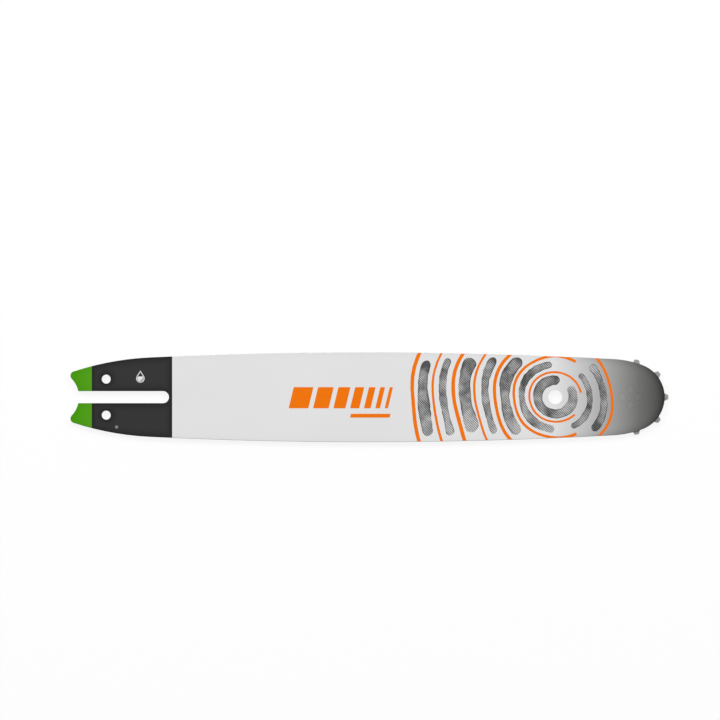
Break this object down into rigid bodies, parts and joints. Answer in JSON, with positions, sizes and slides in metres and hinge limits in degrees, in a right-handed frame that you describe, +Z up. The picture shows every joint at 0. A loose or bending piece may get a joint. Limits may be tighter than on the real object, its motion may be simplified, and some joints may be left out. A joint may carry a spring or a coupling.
{
  "type": "chainsaw guide bar",
  "caption": "Laminated chainsaw guide bar with a grooved rail, a forked and slotted tail and a sprocket nose on roller bearings, painted pale grey with a dark and green tail.",
  "frame": {"origin": "centre of the round end of the bar slot, on the face that the bar lies on", "axes": "+X along the bar from the slot to the nose, +Y across it, +Z up through its thickness, out of the pictured face"},
  "size_m": [0.4066, 0.0612, 0.0041],
  "materials": {
    "painted_plate": "satin",
    "painted_rivet": "satin",
    "core_steel": "satin",
    "sprocket_steel": "satin",
    "bearing_steel": "polished",
    "infill_polyamide": "matte"
  },
  "bodies": {
    "bar": {"front_side_plate": "painted_plate", "back_side_plate": "painted_plate", "core_plate": "core_steel", "bearing_race": "bearing_steel", "nose_rivets": "painted_rivet", "polyamide_infill_1": "infill_polyamide", "polyamide_infill_2": "infill_polyamide"},
    "sprocket": {"nose_sprocket": "sprocket_steel"},
    "roller_set": {"bearing_roller_01": "bearing_steel", "bearing_roller_02": "bearing_steel", "bearing_roller_03": "bearing_steel", "bearing_roller_04": "bearing_steel", "bearing_roller_05": "bearing_steel", "bearing_roller_06": "bearing_steel", "bearing_roller_07": "bearing_steel", "bearing_roller_08": "bearing_steel", "bearing_roller_09": "bearing_steel", "bearing_roller_10": "bearing_steel", "bearing_roller_11": "bearing_steel", "bearing_roller_12": "bearing_steel", "bearing_roller_13": "bearing_steel", "bearing_roller_14": "bearing_steel", "bearing_roller_15": "bearing_steel", "bearing_roller_16": "bearing_steel", "bearing_roller_17": "bearing_steel", "bearing_roller_18": "bearing_steel", "bearing_roller_19": "bearing_steel", "bearing_roller_20": "bearing_steel"}
  },
  "joints": [
    {"name": "sprocket_spin", "type": "hinge", "parent": "bar", "child": "sprocket", "pos_m": [0.3179, 0, 0.00205], "axis": [0, 0, 1], "continuous": true},
    {"name": "roller_orbit", "type": "hinge", "parent": "bar", "child": "roller_set", "pos_m": [0.3179, 0, 0.00205], "axis": [0, 0, 1], "continuous": true}
  ],
  "couplings": [
    {"joint": "roller_orbit", "follows": "sprocket_spin", "ratio": 0.57711}
  ]
}
